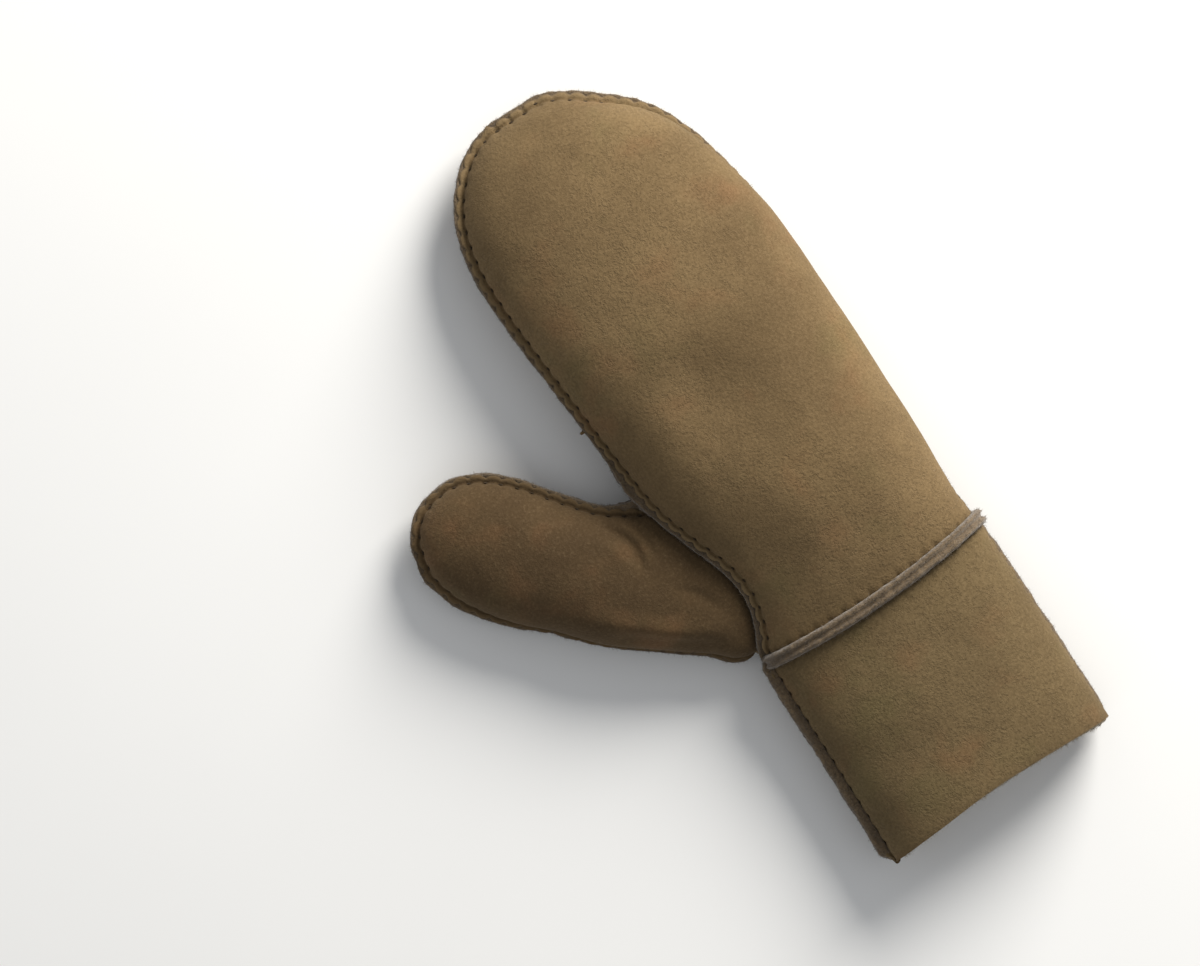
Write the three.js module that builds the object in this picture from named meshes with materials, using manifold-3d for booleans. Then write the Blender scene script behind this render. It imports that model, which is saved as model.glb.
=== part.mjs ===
// A sheepskin mitten for the right hand, suede side out, lying palm down.
// Millimetres. +X is the little finger's side, +Y points to the fingertips, +Z is the back of the hand.
// The hand and the thumb are two hollow forms, joined and then parted into cut pieces along the seams.
// Each seam has both raw edges turned outward, so a double ridge of wool runs along it.
import * as THREE from "three";
import { mergeVertices } from "three/addons/utils/BufferGeometryUtils.js";
import Module from "manifold-3d";

const wasm = await Module();
wasm.setup();

// Driving dimensions
const WALL = 4; // skin with its clipped wool
const GAP = 0.3; // between pieces that touch
const CENTRE = [-42.8, 154.9]; // middle of the whole outline, which becomes the origin

const ROUNDNESS = 2.25; // exponent of the superellipse of a section
const CORNER = 14; // how far the rounded lower corners reach in from the sides
const CORNER_SHARE = 0.42; // the most of a section's width that a corner takes
const BULGE = 0.42; // height of the widest place on the rounded side, as a share of the crown
const ARCH_STEPS = 7; // faces from a side up to the crown
const CORNER_STEPS = 4; // faces round a lower corner

const RISE = { high: 0.12, low: -0.3 }; // how far the edges turn up on the high side, down on the low one
const RIDGE_WIDTH = 5.6;
const RIDGE_HEIGHT = 3.2;
const PALM_RIDGE_WIDTH = 5;
const WEB_RIDGE_WIDTH = 4.4;
const FLAT_RIDGE = 2.3; // height of a ridge pressed into the palm
const SKIN_OVER_RIDGE = 2.5; // height of the palm's skin where a ridge lies under it
const RIDGE_FORM = { foot: 0.86, shoulder: 0.6, top: 0.55, groove: 0.68 }; // shares of half width and height

const THUMB_HOLE = 13; // over this height the hole to the thumb is edged by the back panel
const SEAM_START = { hand: 91.5, cuff: 83.5 }; // Y on either side of the wrist seam where side seams end
const THUMB_SEAM_START = 1.1; // place in the thumb's table where its seam leaves the hand's
const PAST_HEM = -6; // Y that the cuff's side seams are drawn from before the hem is cut

const UNDER_EDGE = 0.1; // how far under a form's edge its wall is cut
const SIMPLIFY = 0.02; // faces this close to flat become one
const ALL = { left: -160, right: 80, near: -60, far: 340, bottom: -10, top: 90 }; // round the whole mitten

const SUEDE = 0x786243;
const THUMB_SUEDE = 0x64502f;
const CUFF_SUEDE = 0x70603f;
const WOOL = 0x8a775a;
const ROUGHNESS = { suede: 0.92, wool: 1 };

// Hand and cuff: left and right edge, height of the left and right seam, and crown, at each Y.
const HAND = [
  { y: -14, left: -46.5, right: 49.5, seam: 16, low: 6.5, crown: 35.5 },
  { y: 40, left: -45.8, right: 49.3, seam: 16, low: 6.5, crown: 34 },
  { y: 76, left: -45.6, right: 48.6, seam: 16.5, low: 6.5, crown: 32.5 },
  { y: 88, left: -44.6, right: 47.8, seam: 17, low: 6.5, crown: 33.5 },
  { y: 100, left: -39.5, right: 47, seam: 21, low: 6.5, crown: 38.5 },
  { y: 112, left: -37, right: 47.3, seam: 25, low: 6.5, crown: 42.5 },
  { y: 125, left: -38.7, right: 47.8, seam: 26, low: 6.5, crown: 45 },
  { y: 140, left: -44.2, right: 48, seam: 25, low: 6.5, crown: 46 },
  { y: 157, left: -49.3, right: 48, seam: 21, low: 6.5, crown: 46.5 },
  { y: 178, left: -51.8, right: 48, seam: 18.5, low: 6.5, crown: 46 },
  { y: 205, left: -54, right: 47.8, seam: 21, low: 6.5, crown: 44.5 },
  { y: 228, left: -55.7, right: 46.6, seam: 21, low: 6.5, crown: 42.5 },
  { y: 248, left: -56.8, right: 43, seam: 20, low: 7, crown: 40 },
  { y: 265, left: -56.5, right: 37.8, seam: 18.5, low: 8, crown: 37 },
  { y: 278, left: -54, right: 31.6, seam: 17, low: 9, crown: 33.5 },
  { y: 288, left: -49.8, right: 23.4, seam: 15.5, low: 10.5, crown: 29.5 },
  { y: 296, left: -43.8, right: 13.8, seam: 14.4, low: 11.5, crown: 25.5 },
  { y: 302, left: -37, right: 6, seam: 13, low: 12, crown: 21.5 },
  { y: 305.6, left: -30, right: -0.5, seam: 12.8, low: 12.3, crown: 17.5 },
  { y: 307, left: -23, right: -7, seam: 12.7, low: 12.6, crown: 15 },
];

// Thumb: its lower edge (x, y), its upper edge (x, y), height of the upper and lower seam, and crown.
const THUMB = [
  { x: -16, y: 98, upX: -17, upY: 141, seam: 18, low: 7, crown: 24 },
  { x: -48.5, y: 92, upX: -50.4, upY: 155.5, seam: 20, low: 6.5, crown: 26.5 },
  { x: -62.5, y: 101, upX: -60, upY: 160.6, seam: 17.5, low: 5, crown: 27.5 },
  { x: -77.5, y: 112, upX: -68.8, upY: 166.8, seam: 15, low: 5, crown: 28.5 },
  { x: -92.5, y: 124, upX: -77.6, upY: 177, seam: 13.5, low: 5, crown: 28.5 },
  { x: -105.5, y: 138.5, upX: -88, upY: 190.5, seam: 13, low: 5.5, crown: 28 },
  { x: -115, y: 147.8, upX: -97.5, upY: 199.5, seam: 12.5, low: 6, crown: 27 },
  { x: -122.5, y: 157, upX: -107.5, upY: 204.2, seam: 12, low: 7, crown: 25.5 },
  { x: -128.5, y: 166.4, upX: -117, upY: 204, seam: 11.6, low: 8, crown: 23 },
  { x: -131.6, y: 174, upX: -124.5, upY: 201, seam: 11.3, low: 9.4, crown: 20 },
  { x: -133, y: 180, upX: -129.2, upY: 196, seam: 11.1, low: 10.4, crown: 16.5 },
  { x: -133, y: 184.5, upX: -131.4, upY: 192, seam: 11, low: 10.8, crown: 14 },
];

// Hollows that the fingers' room leaves on the back of the hand: centre, reach and depth.
const DENTS = [
  { x: -12, y: 181, reachX: 19, reachY: 17, depth: 3.2 },
  { x: -27, y: 121, reachX: 15, reachY: 17, depth: 3.4 },
];

// The wrist seam and the hem: Y at either side, and how far they bend between, on the back and the palm.
const WRIST = { left: 86.5, right: 89, back: -3.2, palm: 2.5 };
const HEM = { left: -1, right: 0.6, back: 3.2, palm: 2.8 };
const CUFF_HALF = 48; // from the middle of the cuff to its sides, where those lines end
const LINE_HEIGHTS = { palm: 8, back: 22 }; // where the palm's bend ends and the back's begins
const WRIST_Y = 88;

// The seam between the palm and the thumb's front, from the wrist to the side of the hand.
const PALM_SEAM = [
  [-1, 92],
  [-3.5, 106],
  [-6, 128],
  [-8, 150],
  [-15, 169],
  [-26, 184],
  [-38, 192],
  [-58, 195],
];

// The web between thumb and hand: its point in the palm, its low and high ends on the side of the hand, the
// shares of its two sides that stay straight, and where the high side would run on to.
const WEB = {
  point: [-31, 166],
  low: [-60, 157.5],
  high: [-39, 189],
  straight: { lowFrom: 0.38, lowTo: 0.84, highFrom: 0.2 },
  beyond: [-41, 205],
};

const steps = (from, to, count) =>
  Array.from({ length: count + 1 }, (_, i) => from + ((to - from) * i) / count);
const quarter = (from, to, count) => steps(from, to, count).map(THREE.MathUtils.degToRad);
const power = (value, exponent) => Math.sign(value) * Math.abs(value) ** (2 / exponent);
const mix = (a, b, t) => [a[0] + (b[0] - a[0]) * t, a[1] + (b[1] - a[1]) * t];
const unit = (v) => v.map((c) => c / Math.hypot(...v));
const cross = (a, b) => [
  a[1] * b[2] - a[2] * b[1],
  a[2] * b[0] - a[0] * b[2],
  a[0] * b[1] - a[1] * b[0],
];

// A row of a table at place k (0 is its first row), each column smoothed through the rows round it.
function rowAt(table, k) {
  const i = Math.min(Math.max(Math.floor(k), 0), table.length - 2);
  const t = k - i;
  const near = [i - 1, i, i + 1, i + 2].map((j) => table[THREE.MathUtils.clamp(j, 0, table.length - 1)]);
  const blend = {};
  for (const name of Object.keys(table[0])) {
    const [a, b, c, d] = near.map((row) => row[name]);
    const curved = 2 * a - 5 * b + 4 * c - d + t * (3 * (b - c) + d - a);
    blend[name] = b + 0.5 * t * (c - a + t * curved);
  }
  return blend;
}

// Place in the hand's table whose Y is the one asked for, by halving.
function placeOf(y) {
  let low = 0;
  let high = HAND.length - 1;
  for (let i = 0; i < 30; i++) {
    const middle = (low + high) / 2;
    if (rowAt(HAND, middle).y < y) low = middle;
    else high = middle;
  }
  return low;
}

// How deep the back of the hand is dented at a point.
function dent(x, y) {
  let depth = 0;
  for (const d of DENTS)
    depth += d.depth * Math.exp(-(((x - d.x) / d.reachX) ** 2) - ((y - d.y) / d.reachY) ** 2);
  return depth;
}

// One closed section between the edge with the high seam (from) and the rounded edge (to), in plan.
// It rises from the high seam over the crown, rounds down the other side and is flat where it lies.
function section({ from, to, seam, low, crown }, inset) {
  const span = Math.hypot(to[0] - from[0], to[1] - from[1]);
  const wide = span - 2 * inset;
  const corner = Math.min(CORNER, wide * CORNER_SHARE);
  const top = crown - inset;
  const side = Math.max(crown * BULGE, low, inset + 1);
  const ring = [];
  const add = (across, z) => {
    const [x, y] = mix(from, to, (across + inset) / span);
    const rise = Math.max(0, (z - seam) / (top - seam));
    ring.push([x, y, z - dent(x, y) * rise]);
  };
  for (const a of quarter(0, 90, ARCH_STEPS)) {
    const across = 1 - power(Math.cos(a), ROUNDNESS);
    add((wide / 2) * across, seam + (top - seam) * power(Math.sin(a), ROUNDNESS));
  }
  for (const a of quarter(90, 0, ARCH_STEPS).slice(1)) {
    const across = 1 + power(Math.cos(a), ROUNDNESS);
    add((wide / 2) * across, side + (top - side) * power(Math.sin(a), ROUNDNESS));
  }
  for (const a of quarter(0, 90, CORNER_STEPS).slice(1))
    add(wide - corner + corner * Math.cos(a), side - (side - inset) * Math.sin(a));
  add(wide / 2, inset);
  add(corner, inset);
  for (const a of quarter(90, 0, CORNER_STEPS).slice(1, -1))
    add(corner - corner * Math.cos(a), seam - (seam - inset) * Math.sin(a));
  return ring;
}

// A row of either table with its section's two ends in plan.
const faced = (row) => ({ ...row, from: [row.left, row.y], to: [row.right, row.y] });
const facedThumb = (row) => ({ ...row, from: [row.upX, row.upY], to: [row.x, row.y] });

// A mesh of vertices and triangles as a solid that can be joined and cut.
function solid(points, triangles) {
  let geometry = new THREE.BufferGeometry();
  geometry.setAttribute("position", new THREE.Float32BufferAttribute(points.flat(), 3));
  geometry.setIndex(triangles.flat());
  geometry = mergeVertices(geometry, 1e-4);
  return new wasm.Manifold(
    new wasm.Mesh({
      numProp: 3,
      vertProperties: geometry.attributes.position.array,
      triVerts: new Uint32Array(geometry.index.array),
    }),
  );
}

// A solid through a row of rings with the same number of points. Its ends are closed to their middles,
// unless the last ring leads back to the first.
function loft(rings, looped = false) {
  const n = rings[0].length;
  const points = rings.flat();
  const triangles = [];
  const last = looped ? rings.length : rings.length - 1;
  for (let i = 0; i < last; i++)
    for (let j = 0; j < n; j++) {
      const a = i * n + j;
      const b = i * n + ((j + 1) % n);
      const c = ((i + 1) % rings.length) * n + j;
      const d = ((i + 1) % rings.length) * n + ((j + 1) % n);
      triangles.push([a, b, d], [a, d, c]);
    }
  for (const ring of looped ? [] : [0, rings.length - 1]) {
    const middle = points.length;
    points.push([0, 1, 2].map((k) => rings[ring].reduce((sum, p) => sum + p[k], 0) / n));
    for (let j = 0; j < n; j++) {
      const a = ring * n + j;
      const b = ring * n + ((j + 1) % n);
      triangles.push(ring === 0 ? [middle, b, a] : [middle, a, b]);
    }
  }
  const made = solid(points, triangles);
  return made.volume() < 0 ? solid(points, triangles.map(([a, b, c]) => [a, c, b])) : made;
}

// The upright solid over an outline in plan.
function prism(outline, bottom = ALL.bottom, top = ALL.top) {
  return loft([bottom, top].map((z) => outline.map(([x, y]) => [x, y, z])));
}

// A flat block larger than the mitten, between two heights.
const block = (bottom, top) =>
  prism(
    [
      [ALL.left, ALL.near],
      [ALL.right, ALL.near],
      [ALL.right, ALL.far],
      [ALL.left, ALL.far],
    ],
    bottom,
    top,
  );

// Everything under a surface that runs from one seam height to the other across each section, a little under
// the sharp edge there, and on past its ends by a quarter of its width.
function below(rows, grow) {
  return loft(
    rows.map(({ from, to, seam, low }) => {
      const start = mix(from, to, -0.25);
      const end = mix(from, to, 1.25);
      const drop = (low - seam) / 4;
      return [
        [...start, ALL.bottom],
        [...end, ALL.bottom],
        [...end, low + drop + grow - UNDER_EDGE],
        [...start, seam - drop + grow - UNDER_EDGE],
      ];
    }),
  );
}

// Y of the wrist seam or the hem at a place across the cuff, above or below its side seams.
function lineAt(line, x, z) {
  const bend = 1 - Math.min((x / CUFF_HALF) ** 2, 1);
  const end = THREE.MathUtils.mapLinear(x, -CUFF_HALF, CUFF_HALF, line.left, line.right);
  const { palm, back } = LINE_HEIGHTS;
  const share = THREE.MathUtils.clamp((z - palm) / (back - palm), 0, 1);
  return end + bend * THREE.MathUtils.lerp(line.palm, line.back, share);
}

// Everything on the cuff's side of the wrist seam or the hem.
function before(line, grow) {
  return loft(
    steps(-1.5 * CUFF_HALF, 1.5 * CUFF_HALF, 12).map((x) => {
      const cut = [ALL.bottom, LINE_HEIGHTS.palm, LINE_HEIGHTS.back, ALL.top];
      return [
        [x, 2 * ALL.near, ALL.bottom],
        ...cut.map((z) => [x, lineAt(line, x, z) + grow, z]),
        [x, 2 * ALL.near, ALL.top],
      ];
    }),
  );
}

// A double ridge of wool along a path of { at, out, height } places, with a groove along its middle.
function ridge(path, { width = RIDGE_WIDTH, grow = 0, looped = false } = {}) {
  const last = path.length - 1;
  const near = (j) => path[looped ? (j + path.length) % path.length : THREE.MathUtils.clamp(j, 0, last)].at;
  const rings = path.map(({ at, out, height = RIDGE_HEIGHT }, i) => {
    const along = unit(near(i + 1).map((c, k) => c - near(i - 1)[k]));
    const side = unit(cross(along, out));
    const up = cross(side, along);
    const half = width / 2 + grow;
    const high = height + grow;
    const { foot, shoulder, top, groove } = RIDGE_FORM;
    const profile = [
      [-half * foot, GAP - grow],
      [-half, high * shoulder],
      [-half * top, high],
      [0, grow ? high : high * groove],
      [half * top, high],
      [half, high * shoulder],
      [half * foot, GAP - grow],
    ];
    return profile.map(([a, h]) => at.map((c, k) => c + side[k] * a + up[k] * h));
  });
  return loft(rings, looped);
}

// Main forms, whole, hollow inside and grown by the gap. The hand's rows are closer round the fingertips,
// and the room inside stops short of them.
const FINGERTIPS_Y = 230;
const HAND_STEPS = { palm: 18, tips: 11 };
const THUMB_STEPS = 16;
const HAND_ROOM_END = 26;
const THUMB_ROOM_END = 14;
const INSIDE_START_Y = -40;

const handPlaces = [
  ...steps(0, placeOf(FINGERTIPS_Y), HAND_STEPS.palm),
  ...steps(placeOf(FINGERTIPS_Y), HAND.length - 1, HAND_STEPS.tips).slice(1),
];
const handRows = handPlaces.map((k) => faced(rowAt(HAND, k)));
const thumbRows = steps(0, THUMB.length - 1, THUMB_STEPS).map((k) => facedThumb(rowAt(THUMB, k)));
const everyOther = (rows, last = rows.length) => rows.filter((_, i) => i % 2 === 0 && i <= last);
const form = (rows, inset) => loft(rows.map((row) => section(row, inset)));
const mouthRow = faced({ ...HAND[0], y: INSIDE_START_Y });
const hand = form(handRows, 0);
const handGrown = form(handRows, -GAP);
const handRoom = form([mouthRow, ...everyOther(handRows, HAND_ROOM_END)], WALL);
const thumb = form(thumbRows, 0);
const thumbGrown = form(thumbRows, -GAP);
const thumbRoom = form(everyOther(thumbRows, THUMB_ROOM_END), WALL);

// How far the rounded lower corner has come in from the side at the low seam.
const cornerIn = ({ low, crown }) =>
  CORNER * (1 - Math.sqrt(1 - Math.max(0, 1 - low / (crown * BULGE)) ** 2));

// Seam lines. Each place has a point on the skin and the way the raw edges turn.
const highPoint = ({ from, seam }) => ({ at: [...from, seam], rise: RISE.high });
function lowPoint(row) {
  const { from, to, low } = row;
  const inward = unit([from[0] - to[0], from[1] - to[1]]);
  const reach = Math.min(cornerIn(row), CORNER / 2);
  return { at: [to[0] + inward[0] * reach, to[1] + inward[1] * reach, low], rise: RISE.low };
}

// Places along the edge of a form, with its outside on the left of the way along.
function edge(points) {
  return points.map(({ at, rise }, i) => {
    const ahead = points[Math.min(i + 1, points.length - 1)].at;
    const behind = points[Math.max(i - 1, 0)].at;
    const [nx, ny] = unit([behind[1] - ahead[1], ahead[0] - behind[0]]);
    return { at, out: [nx * Math.cos(rise), ny * Math.cos(rise), Math.sin(rise)] };
  });
}

const handBetween = (from, to, count) => steps(from, to, count).map((k) => faced(rowAt(HAND, k)));
const handSide = handBetween(placeOf(SEAM_START.hand), HAND.length - 1, 26);
const handPath = edge([...handSide.map(highPoint), ...handSide.map(lowPoint).reverse()]);
const thumbSide = steps(THUMB_SEAM_START, THUMB.length - 1, 14).map((k) => facedThumb(rowAt(THUMB, k)));
const thumbPath = edge([...thumbSide.map(lowPoint), ...thumbSide.map(highPoint).reverse()]);
const cuffSide = handBetween(placeOf(PAST_HEM), placeOf(SEAM_START.cuff), 6);
const cuffThumbPath = edge(cuffSide.map(highPoint));
const cuffFingerPath = edge(cuffSide.map(lowPoint).reverse());

// The wrist seam goes right round the section, and is pressed flat where the mitten lies on it.
const wristPath = section(faced(rowAt(HAND, placeOf(WRIST_Y))), 0).map(([x, , z], j, ring) => {
  const y = lineAt(WRIST, x, z);
  const [px, , pz] = section(faced(rowAt(HAND, placeOf(y))), 0)[j];
  const ahead = ring[(j + 1) % ring.length];
  const behind = ring[(j - 1 + ring.length) % ring.length];
  const out = unit([behind[2] - ahead[2], 0, ahead[0] - behind[0]]);
  return pz < SKIN_OVER_RIDGE
    ? { at: [px, y, SKIN_OVER_RIDGE], out: [0, 0, -1], height: FLAT_RIDGE }
    : { at: [px, y, pz], out };
});

// A place on the palm's side of the hand, where the wall turns up to the thumb side's seam. The turn stops
// just short of upright.
function palmPlace([x, y]) {
  const { left, seam } = rowAt(HAND, placeOf(y));
  const c = THREE.MathUtils.clamp((CORNER - (x - left)) / CORNER, 0, 0.98);
  const s = Math.sqrt(1 - c * c);
  const z = seam * (1 - s);
  const out = unit([-c / CORNER, 0, -s / seam]);
  return z < SKIN_OVER_RIDGE
    ? { at: [x, y, SKIN_OVER_RIDGE], out, height: FLAT_RIDGE }
    : { at: [Math.max(x, left), y, z], out };
}

const curve = (points, count) =>
  new THREE.CatmullRomCurve3(points.map(([x, y]) => new THREE.Vector3(x, y, 0)), false, "centripetal")
    .getSpacedPoints(count)
    .map(({ x, y }) => [x, y]);

const palmLine = curve(PALM_SEAM, 18);
const webLine = curve(
  [
    mix(WEB.low, WEB.point, WEB.straight.lowFrom),
    mix(WEB.low, WEB.point, WEB.straight.lowTo),
    WEB.point,
    mix(WEB.point, WEB.high, WEB.straight.highFrom),
    WEB.high,
  ],
  12,
);

// The main body of a cut piece, without the crumbs of the cut.
function largest(pieces) {
  return pieces.simplify(SIMPLIFY).decompose().reduce((a, b) => (a.volume() > b.volume() ? a : b));
}

// Ridges, in the order in which one gives way to the next
const ridges = {
  wrist_seam: [wristPath, { looped: true }],
  hand_seam: [handPath],
  thumb_seam: [thumbPath],
  cuff_seam_thumb_side: [cuffThumbPath],
  cuff_seam_finger_side: [cuffFingerPath],
  palm_seam: [palmLine.map(palmPlace), { width: PALM_RIDGE_WIDTH }],
  web_seam: [webLine.map(palmPlace), { width: WEB_RIDGE_WIDTH }],
};

const lying = block(2 * ALL.bottom, SKIN_OVER_RIDGE + GAP);
const standing = block(SKIN_OVER_RIDGE - GAP, ALL.top);
const mouth = before(HEM, 0);
const forms = handGrown.add(thumbGrown).intersect(standing);
const solids = {};
const grooves = [];
let taken = mouth;
for (const [name, [path, options]] of Object.entries(ridges)) {
  solids[name] = largest(ridge(path, options).subtract(forms).subtract(taken));
  taken = taken.add(ridge(path, { ...options, grow: GAP }));
  grooves.push(ridge(path, { ...options, grow: 2 * GAP }).intersect(lying));
}

// The hollow wall, open at the hem and grooved where ridges are pressed into it
const rooms = [handRoom, thumbRoom, mouth, ...grooves];
const wall = rooms.reduce((left, room) => left.subtract(room), hand.add(thumb));

// Regions that the seams part the wall into, each a little larger where it is grown by the gap
const cutRows = handRows.filter((_, i) => i % 2 === 0 || i >= HAND_ROOM_END);
const handBelow = (grow) => below(cutRows, grow);
const thumbBelow = (grow) => below(everyOther(thumbRows), grow);
const onPalm = (outline, grow) =>
  prism(outline).intersect(handBelow(grow)).intersect(form(handRows, -grow));

const palmRegion = (grow) =>
  onPalm(
    [
      ...palmLine.map(([x, y]) => [x - grow, y - grow]),
      [ALL.left, PALM_SEAM.at(-1)[1] - grow],
      [ALL.left, ALL.far],
      [ALL.right, ALL.far],
      [ALL.right, 0.7 * WRIST_Y],
    ],
    grow,
  );

const webRegion = (grow) =>
  onPalm(
    [
      [WEB.point[0] + grow, WEB.point[1] - grow],
      [WEB.beyond[0] + grow, WEB.beyond[1]],
      [ALL.left, WEB.beyond[1]],
      [ALL.left, WEB.low[1] - grow],
    ],
    grow,
  );

const thumbPalmRegion = (grow) =>
  handBelow(grow)
    .intersect(handGrown)
    .subtract(form(thumbRows, grow).intersect(block(THUMB_HOLE + grow, ALL.top)))
    .add(thumbBelow(grow).subtract(hand));

// Cut the pieces from the wall, each keeping the gap to those before it
const cuff = wall.intersect(before(WRIST, -GAP / 2));
solids.cuff_palm = largest(cuff.intersect(handBelow(0)));
solids.cuff_back = largest(cuff.subtract(handBelow(GAP)));

let rest = wall.subtract(before(WRIST, GAP / 2));
for (const [name, region] of Object.entries({
  palm_panel: palmRegion,
  web_gusset: webRegion,
  thumb_palm: thumbPalmRegion,
})) {
  solids[name] = largest(rest.intersect(region(0)));
  rest = rest.subtract(region(GAP));
}
solids.thumb_back = largest(rest.subtract(handGrown));
solids.back_panel = largest(rest.intersect(hand));

const colours = {
  cuff_back: CUFF_SUEDE,
  cuff_palm: CUFF_SUEDE,
  thumb_back: THUMB_SUEDE,
  thumb_palm: THUMB_SUEDE,
};

const mitten = new THREE.Group();
mitten.position.set(-CENTRE[0], -CENTRE[1], 0);
for (const [name, made] of Object.entries(solids)) {
  const { vertProperties, triVerts } = made.getMesh();
  const geometry = new THREE.BufferGeometry();
  geometry.setAttribute("position", new THREE.BufferAttribute(vertProperties, 3));
  geometry.setIndex(new THREE.BufferAttribute(triVerts, 1));
  const woollen = name in ridges;
  const material = new THREE.MeshStandardMaterial({
    color: woollen ? WOOL : (colours[name] ?? SUEDE),
    roughness: woollen ? ROUGHNESS.wool : ROUGHNESS.suede,
    metalness: 0,
  });
  const mesh = new THREE.Mesh(geometry, material);
  mesh.name = name;
  mitten.add(mesh);
}

const whole = new THREE.Group();
whole.add(mitten);
export default whole;
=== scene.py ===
"""A sheepskin mitten for the right hand, suede side out, lying palm down and seen from straight above.

Shapes are worked out in millimetres from the middle of the hem: X to the little finger's side, Y to the
fingertips, Z up. Each piece is moved to the middle of the outline and made metres as its mesh is filled.
"""

import math

import bpy
import numpy as np
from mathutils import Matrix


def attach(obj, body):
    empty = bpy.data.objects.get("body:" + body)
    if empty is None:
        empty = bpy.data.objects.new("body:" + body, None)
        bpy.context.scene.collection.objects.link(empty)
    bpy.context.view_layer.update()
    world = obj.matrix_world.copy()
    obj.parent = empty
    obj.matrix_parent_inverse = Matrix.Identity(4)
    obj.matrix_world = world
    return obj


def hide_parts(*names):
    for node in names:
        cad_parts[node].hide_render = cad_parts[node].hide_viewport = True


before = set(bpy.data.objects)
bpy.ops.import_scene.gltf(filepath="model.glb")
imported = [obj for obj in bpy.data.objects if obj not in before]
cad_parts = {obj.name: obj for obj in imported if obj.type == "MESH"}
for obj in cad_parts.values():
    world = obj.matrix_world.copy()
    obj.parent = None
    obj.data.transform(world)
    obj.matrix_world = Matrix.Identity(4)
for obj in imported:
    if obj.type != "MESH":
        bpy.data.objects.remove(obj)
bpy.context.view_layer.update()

# Back of the hand
# One piece of sheepskin from the wrist to the fingertips, suede outside and clipped wool inside.
# Its raw edge is turned outward and sewn through, so that a narrow lip with sunk stitches runs round it.
MM = 0.001
CENTRE = np.array([-42.8, 154.9, 0.0])  # middle of the outline, from the middle of the hem
SKIN = 1.3  # thickness of the suede
CORNER = 14.0  # radius of the lower corners
CORNER_SHARE = 0.42  # and their largest share of the width
BULGE = 0.42  # height of the widest place as a share of the crown
ROUNDNESS = 2.25  # exponent of the back's superellipse
STITCH_PITCH = 6.0
SEAM_HALF = 1.9  # from the middle of a seam to the skin's surface on either side of it

# Y, left and right edge, height of the left and right seam, and crown
HAND = np.array(
    [
        (-14, -46.5, 49.5, 16, 6.5, 35.5),
        (40, -45.8, 49.3, 16, 6.5, 34),
        (76, -45.6, 48.6, 16.5, 6.5, 32.5),
        (88, -44.6, 47.8, 17, 6.5, 33.5),
        (100, -39.5, 47, 21, 6.5, 38.5),
        (112, -37, 47.3, 25, 6.5, 42.5),
        (125, -38.7, 47.8, 26, 6.5, 45),
        (140, -44.2, 48, 25, 6.5, 46),
        (157, -49.3, 48, 21, 6.5, 46.5),
        (178, -51.8, 48, 18.5, 6.5, 46),
        (205, -54, 47.8, 21, 6.5, 44.5),
        (228, -55.7, 46.6, 21, 6.5, 42.5),
        (248, -56.8, 43, 20, 7, 40),
        (265, -56.5, 37.8, 18.5, 8, 37),
        (278, -54, 31.6, 17, 9, 33.5),
        (288, -49.8, 23.4, 15.5, 10.5, 29.5),
        (296, -43.8, 13.8, 14.4, 11.5, 25.5),
        (302, -37, 6, 13, 12, 21.5),
        (305.6, -30, -0.5, 12.8, 12.3, 17.5),
        (307, -23, -7, 12.7, 12.6, 15),
    ]
)[:, [1, 0, 2, 0, 3, 4, 5]]
TIP = len(HAND) - 1

# X, Y, reach along X and Y, and depth of the hollows that the empty fingers' room leaves
DENTS = np.array([(-12, 181, 19, 17, 3.2), (-27, 121, 15, 17, 3.4)])

# Y of the wrist seam at its left and right end, and how far it bends between them on the back and the palm
WRIST = (86.5, 89.0, -3.2, 2.5)
WRIST_Y = 88.0  # the straight row that the seam is bent from
SETTLED_Y = (90, 118)  # between which the rows get straight again
HALF_WIDTH = 48  # of the wrist and the hem
PALM_TO_BACK = (8, 14)  # height where the palm's bend starts to turn into the back's, and how far up it does

# Out from the seam and down towards its middle: the turned raw edge, from the stitches to the cut
LIP = ((0.5, 0.25), (1.1, 0.15), (1.8, -0.05), (2.5, 0.05), (2.95, 0.4), (3.1, 0.9))
HIGH_RISE = 0.12
LOW_RISE = -0.3
LEAST_LIP = 0.05  # share of the lip that runs straight on from the skin where none is turned out
STITCHED_LIP = 0.58  # least share of the lip that holds a stitch
WRIST_LIP = 0.62  # share of the lip at the wrist
SIDE_LIP = 0.76  # on the thumb's side, growing to a whole lip between two Y
WHOLE_LIP_Y = (170, 230)
EDGE_ROUNDING = 1.6  # reach of the bell that rounds the corners of an edge
TURN_ROUNDING = 3.0  # and of the one that blends the lip's slopes

# The swellings of a skin, height and size, and the distance from its edge where they start and are whole
SWELLS = ((0.55, 34), (0.3, 15), (0.1, 6))
SWELL_FROM = (2, 16)
PUCKER = (0.75, 1.7)  # depth and reach of the hollow at a stitch
ROLL_HIGH = 0.22  # height, place and reach of the soft roll between stitches
ROLL_AT = 3.2
ROLL_REACH = 1.8
THREAD_OUT = 0.55  # where the thread lies, out along the lip and down
THREAD_DOWN = 0.35

# Rows and columns of the back; how many sections short of the last it ends, and over how many it closes
BACK_GRID = (232, 168)
TOP_SHORT = 0.45
CLOSING = 1.2


def unit(vectors):
    """Vectors of length one."""
    return vectors / np.maximum(np.linalg.norm(vectors, axis=-1, keepdims=True), 1e-9)


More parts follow.
